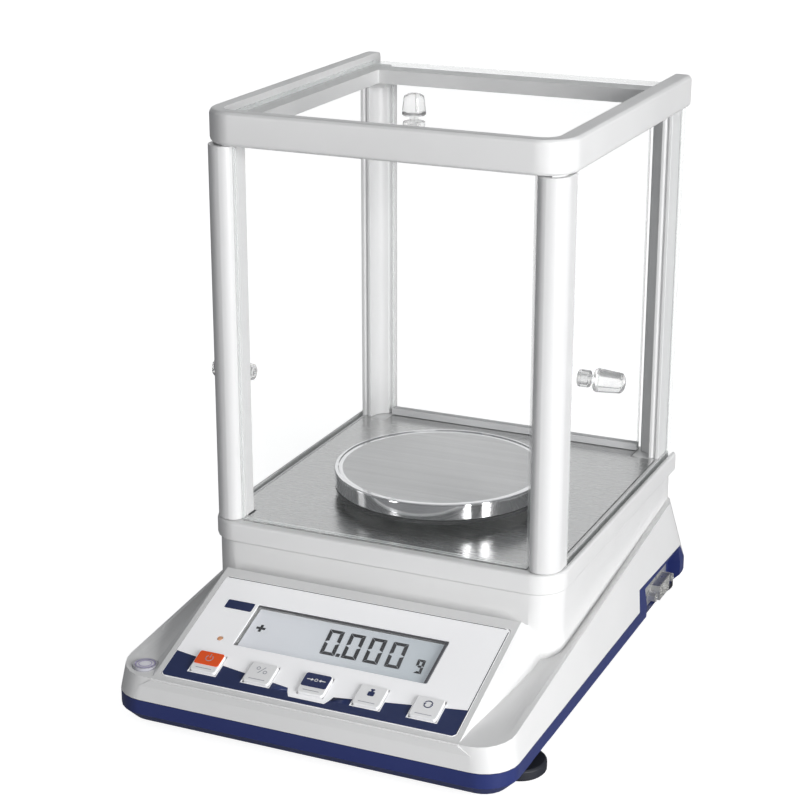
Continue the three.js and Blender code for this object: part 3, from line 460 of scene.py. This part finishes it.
def prism(name, outlines, low, high, look, body, edge=0.0, place=PANEL):
    """Closed flat pieces: each outline in millimetres, counterclockwise, raised from low to high."""
    bm = bmesh.new()
    for outline in outlines:
        bottom = [bm.verts.new((x, y, low)) for x, y in outline]
        top = [bm.verts.new((x, y, high)) for x, y in outline]
        bm.faces.new(bottom[::-1])
        bm.faces.new(top)
        count = len(outline)
        for i in range(count):
            j = (i + 1) % count
            bm.faces.new((bottom[i], bottom[j], top[j], top[i]))
    bmesh.ops.recalc_face_normals(bm, faces=bm.faces)
    bmesh.ops.transform(bm, matrix=place @ Matrix.Scale(MM, 4), verts=bm.verts)
    mesh = bpy.data.meshes.new(name)
    bm.to_mesh(mesh)
    bm.free()
    link_piece(name, mesh, look, body, edge)


def rounded(x0, y0, x1, y1, r, steps=5):
    """A rectangle between two corners, with rounded corners."""
    points = []
    corners = ((x1 - r, y0 + r, -90), (x1 - r, y1 - r, 0), (x0 + r, y1 - r, 90), (x0 + r, y0 + r, 180))
    for cx, cy, start in corners:
        for i in range(steps + 1):
            a = math.radians(start + 90 * i / steps)
            points.append((cx + r * math.cos(a), cy + r * math.sin(a)))
    return points


def arc_band(cx, cy, r, width, start, end, steps=18):
    """A curved stroke from one angle to another, in degrees."""
    angles = [math.radians(start + (end - start) * i / steps) for i in range(steps + 1)]
    outer = [(cx + (r + width / 2) * math.cos(a), cy + (r + width / 2) * math.sin(a)) for a in angles]
    inner = [(cx + (r - width / 2) * math.cos(a), cy + (r - width / 2) * math.sin(a)) for a in angles]
    return outer + inner[::-1]


OVERLAY_TOP = 0.10
INK_LOW, INK_HIGH = OVERLAY_TOP + 0.005, OVERLAY_TOP + 0.03
EDGE_U, EDGE_V0, EDGE_V1 = 79.5, 6.5, 80.9
KEY_U = [(i - 2) * 29.8 + 0.3 for i in range(5)]
KEY_V, KEY_W, KEY_D = 19.4, 14.4, 13.5
KEY_TOP = 1.5
CUT = 0.9  # how far the print stops short of a key's opening

# The navy band along the foot of the panel, cut round the keys and dipping under the middle one.
BAND_LOW, BAND_SLOPE, BAND_EDGE = 14.7, 0.138, 12.4
TAB_HALF, TAB_SHOULDER, TAB_V = 9.7, 11.2, 9.3
BAND_CORNER = 1.6


def band_top(u):
    return BAND_LOW + BAND_SLOPE * max(0, abs(u) - BAND_EDGE)


def band_outlines():
    """The band as strips between the keys, so that nothing covers a key's opening, over one foot strip."""
    key_low = KEY_V - KEY_D / 2 - CUT
    half = KEY_W / 2 + CUT
    edges = [-EDGE_U, *(x for u in KEY_U for x in (u - half, u + half)), EDGE_U]
    out = []
    for a, b in zip(edges[::2], edges[1::2]):
        x0, x1 = (a, min(b, -BAND_EDGE)) if a < 0 else (max(a, BAND_EDGE), b)
        out.append([(x0, key_low), (x1, key_low), (x1, band_top(x1)), (x0, band_top(x0))])
    for side in (-1, 1):
        wedge = [(side * TAB_SHOULDER, key_low), (side * BAND_EDGE, key_low), (side * BAND_EDGE, BAND_LOW)]
        out.append(wedge[::side])
    c = BAND_CORNER
    out.append([
        (-EDGE_U + c, EDGE_V0), (EDGE_U - c, EDGE_V0), (EDGE_U, EDGE_V0 + c), (EDGE_U, key_low),
        (TAB_SHOULDER, key_low), (TAB_HALF, TAB_V), (-TAB_HALF, TAB_V), (-TAB_SHOULDER, key_low),
        (-EDGE_U, key_low), (-EDGE_U, EDGE_V0 + c),
    ])
    return out


def overlay_ink(name, outlines, look):
    prism(name, outlines, INK_LOW, INK_HIGH, look, "base")


overlay_ink("panel_band", band_outlines(), navy)
overlay_ink("panel_name_bar", [rounded(-70.5, 59.0, -55.0, 65.2, 0.8)], navy)

# Painted shadow: a dark grey line round the film's top and right edges.
SHADOW_LINE_WIDTH = 0.5
overlay_ink(
    "panel_edge_painted_shadow",
    [
        [(-EDGE_U + 1, EDGE_V1 - SHADOW_LINE_WIDTH), (EDGE_U - 2, EDGE_V1 - SHADOW_LINE_WIDTH),
         (EDGE_U - 2, EDGE_V1), (-EDGE_U + 1, EDGE_V1)],
        [(EDGE_U - SHADOW_LINE_WIDTH, EDGE_V0 + 2), (EDGE_U, EDGE_V0 + 2),
         (EDGE_U, EDGE_V1 - 2), (EDGE_U - SHADOW_LINE_WIDTH, EDGE_V1 - 2)],
    ],
    line,
)

# ---------- display: window shade line and segments ----------
LCD_FACE = -1.9
SEGMENT_LOW, SEGMENT_HIGH = LCD_FACE + 0.02, LCD_FACE + 0.10
SEGMENT_GAP = 0.14
WINDOW_U, WINDOW_V0, WINDOW_V1 = 52.8, 35.4, 65.0


def slanted(points, u, v, lean):
    return [(u + x + lean * y, v + y) for x, y in points]


def segment_digit(u, v, w, h, s, lean, on="abcdef"):
    """Seven-segment strokes with mitred ends and small gaps."""
    g = SEGMENT_GAP
    half = h / 2
    shapes = {
        "a": [(g, h), (s + g, h - s), (w - s - g, h - s), (w - g, h)],
        "d": [(g, 0), (w - g, 0), (w - s - g, s), (s + g, s)],
        "f": [(0, half + g), (s, half + s / 2 + g), (s, h - s - g), (0, h - g)],
        "e": [(0, g), (s, s + g), (s, half - s / 2 - g), (0, half - g)],
        "b": [(w - s, half + s / 2 + g), (w, half + g), (w, h - g), (w - s, h - s - g)],
        "c": [(w - s, s + g), (w, g), (w, half - g), (w - s, half - s / 2 - g)],
        "g": [(s / 2 + g, half), (s + g, half - s / 2), (w - s - g, half - s / 2), (w - s / 2 - g, half),
              (w - s - g, half + s / 2), (s + g, half + s / 2)],
    }
    return [slanted(shapes[k], u, v, lean) for k in on]


DIGIT_W, DIGIT_H, DIGIT_STROKE, LEAN = 8.2, 17.4, 2.0, -0.09
DIGIT_U, DIGIT_V, DIGIT_PITCH, DIGITS = -8.5, 42.5, 11.75, 4
UNIT_U, UNIT_V, UNIT_W, UNIT_H, UNIT_STROKE = 42.6, 42.2, 4.2, 9.4, 1.45
segments = []
for i in range(DIGITS):
    segments += segment_digit(DIGIT_U + DIGIT_PITCH * i, DIGIT_V, DIGIT_W, DIGIT_H, DIGIT_STROKE, LEAN)
segments.append(rounded(0.2, DIGIT_V, 2.3, 44.7, 0.4))
segments += segment_digit(UNIT_U, UNIT_V, UNIT_W, UNIT_H, UNIT_STROKE, LEAN, "abcdfg")
PLUS_U, PLUS_V, PLUS_ARM, PLUS_HALF = -45.6, 51.3, 2.5, 0.75
segments.append([
    (PLUS_U + x, PLUS_V + y)
    for x, y in (
        (-PLUS_ARM, -PLUS_HALF), (-PLUS_HALF, -PLUS_HALF), (-PLUS_HALF, -PLUS_ARM), (PLUS_HALF, -PLUS_ARM),
        (PLUS_HALF, -PLUS_HALF), (PLUS_ARM, -PLUS_HALF), (PLUS_ARM, PLUS_HALF), (PLUS_HALF, PLUS_HALF),
        (PLUS_HALF, PLUS_ARM), (-PLUS_HALF, PLUS_ARM), (-PLUS_HALF, PLUS_HALF), (-PLUS_ARM, PLUS_HALF),
    )
])
prism("lcd_segments", segments, SEGMENT_LOW, SEGMENT_HIGH, digit, "base")
SHADE = 1.3
SHADE_V = WINDOW_V1 - SHADE
prism(
    "lcd_shade",
    [
        [(-WINDOW_U, SHADE_V), (WINDOW_U, SHADE_V), (WINDOW_U, WINDOW_V1), (-WINDOW_U, WINDOW_V1)],
        [(WINDOW_U - SHADE, WINDOW_V0), (WINDOW_U, WINDOW_V0),
         (WINDOW_U, SHADE_V), (WINDOW_U - SHADE, SHADE_V)],
    ],
    0.02, 0.06, line, "base",
)

# ---------- key faces ----------
KEY_PRINT_LOW, KEY_PRINT_HIGH = KEY_TOP + 0.01, KEY_TOP + 0.06
CAP_TOP = KEY_TOP + 0.35
CAP_EDGE = 0.12 * MM
CAP_PRINT_LOW, CAP_PRINT_HIGH = KEY_TOP + 0.36, KEY_TOP + 0.40


def key_art(name, body, outlines, look, low=KEY_PRINT_LOW, high=KEY_PRINT_HIGH, edge=0.0):
    prism(name, outlines, low, high, look, body, edge)


CAP_U, CAP_LOW, CAP_HIGH = KEY_W / 2 - 0.35, KEY_V - 2.4, KEY_V + KEY_D / 2 - 0.35
for index, name, look in ((0, "key_power", key_orange), (2, "key_tare", key_navy)):
    u = KEY_U[index]
    cap = [rounded(u - CAP_U, CAP_LOW, u + CAP_U, CAP_HIGH, 1.2)]
    key_art(name + "_cap", name, cap, look, high=CAP_TOP, edge=CAP_EDGE)
RULE, RULE_HALF, RULE_V = 0.36, 4.4, KEY_V - 4.9
for name, u in zip(KEYS, KEY_U):
    bars = [rounded(u - RULE_HALF, RULE_V, u + RULE_HALF, RULE_V + RULE, 0.15, 2)]
    key_art(name + "_rule", name, bars, soft_line)

u = KEY_U[0]
key_art("key_power_sign", "key_power", [
    arc_band(u, KEY_V + 2.2, 1.9, 0.4, 125, 415),
    rounded(u - 0.2, KEY_V + 2.6, u + 0.2, KEY_V + 5.0, 0.15, 2),
], soft_line, CAP_PRINT_LOW, CAP_PRINT_HIGH)
u = KEY_U[1]
key_art("key_count_sign", "key_count", [
    arc_band(u - 2.2, KEY_V + 2.6, 0.9, 0.42, 0, 359), arc_band(u + 2.2, KEY_V + 0.6, 0.9, 0.42, 0, 359),
    [(u - 1.6, KEY_V - 0.6), (u - 1.1, KEY_V - 0.6), (u + 1.6, KEY_V + 3.8), (u + 1.1, KEY_V + 3.8)],
], soft_line)
u = KEY_U[2]
key_art("key_tare_sign", "key_tare", [
    [(u - 5.0, KEY_V + 1.9), (u - 2.6, KEY_V + 1.9), (u - 2.6, KEY_V + 1.2), (u - 1.4, KEY_V + 2.15),
     (u - 2.6, KEY_V + 3.1), (u - 2.6, KEY_V + 2.4), (u - 5.0, KEY_V + 2.4)],
    [(u + 5.0, KEY_V + 2.4), (u + 2.6, KEY_V + 2.4), (u + 2.6, KEY_V + 3.1), (u + 1.4, KEY_V + 2.15),
     (u + 2.6, KEY_V + 1.2), (u + 2.6, KEY_V + 1.9), (u + 5.0, KEY_V + 1.9)],
    arc_band(u, KEY_V + 2.15, 0.8, 0.34, 0, 359),
], key_white, CAP_PRINT_LOW, CAP_PRINT_HIGH)
u = KEY_U[3]
key_art("key_calibrate_sign", "key_calibrate", [
    rounded(u - 1.7, KEY_V - 0.4, u + 1.7, KEY_V + 2.6, 0.7),
    rounded(u - 0.6, KEY_V + 2.6, u + 0.6, KEY_V + 3.3, 0.2, 2),
    rounded(u - 1.1, KEY_V + 3.3, u + 1.1, KEY_V + 4.3, 0.45, 3),
], navy)
u = KEY_U[4]
key_art("key_print_sign", "key_print", [
    arc_band(u, KEY_V + 2.0, 2.1, 0.6, 20, 160), arc_band(u, KEY_V + 2.0, 2.1, 0.6, 200, 340),
    [(u - 2.6, KEY_V + 2.4), (u - 1.1, KEY_V + 2.4), (u - 1.9, KEY_V + 1.1)][::-1],
    [(u + 1.1, KEY_V + 1.6), (u + 2.6, KEY_V + 1.6), (u + 1.9, KEY_V + 2.9)],
], navy)

# ---------- spirit level ----------
LEVEL_X, LEVEL_Y, LEVEL_TOP = -92.0, -138.5, 34.2
level_rings = [
    arc_band(LEVEL_X, LEVEL_Y, 3.3, 0.45, 0, 359, 36),
    arc_band(LEVEL_X, LEVEL_Y, 4.9, 0.5, 0, 359, 40),
]
prism(
    "level_marks", level_rings, LEVEL_TOP + 0.01, LEVEL_TOP + 0.05, lavender, "base",
    place=Matrix.Identity(4),
)

# ---------- floor ----------
# The camera sees it glow; other rays see it dim, so that it does not light the object from below.
FLOOR_HALF = 8
FLOOR_GLOW = 0.86
bm = bmesh.new()
bmesh.ops.create_grid(bm, x_segments=8, y_segments=8, size=FLOOR_HALF)
floor_mesh = bpy.data.meshes.new("floor")
bm.to_mesh(floor_mesh)
bm.free()
floor = bpy.data.objects.new("floor", floor_mesh)
bpy.context.scene.collection.objects.link(floor)
ground = Look("floor", (0.30, 0.30, 0.31), 0.7)
glow = ground.new("ShaderNodeBsdfPrincipled")
glow.inputs["Base Color"].default_value = (0.5, 0.5, 0.5, 1)
glow.inputs["Roughness"].default_value = 0.7
glow.inputs["Emission Color"].default_value = (1, 1, 1, 1)
glow.inputs["Emission Strength"].default_value = FLOOR_GLOW
path = ground.new("ShaderNodeLightPath")
seen = ground.new("ShaderNodeMixShader")
straight = ground.maths("MAXIMUM", path.outputs["Is Camera Ray"], path.outputs["Is Transmission Ray"])
ground.link(straight, seen.inputs["Fac"])
ground.link(ground.bsdf.outputs["BSDF"], seen.inputs[1])
ground.link(glow.outputs["BSDF"], seen.inputs[2])
ground.link(seen.outputs["Shader"], ground.tree.nodes["Material Output"].inputs["Surface"])
floor_mesh.materials.append(ground.mat)
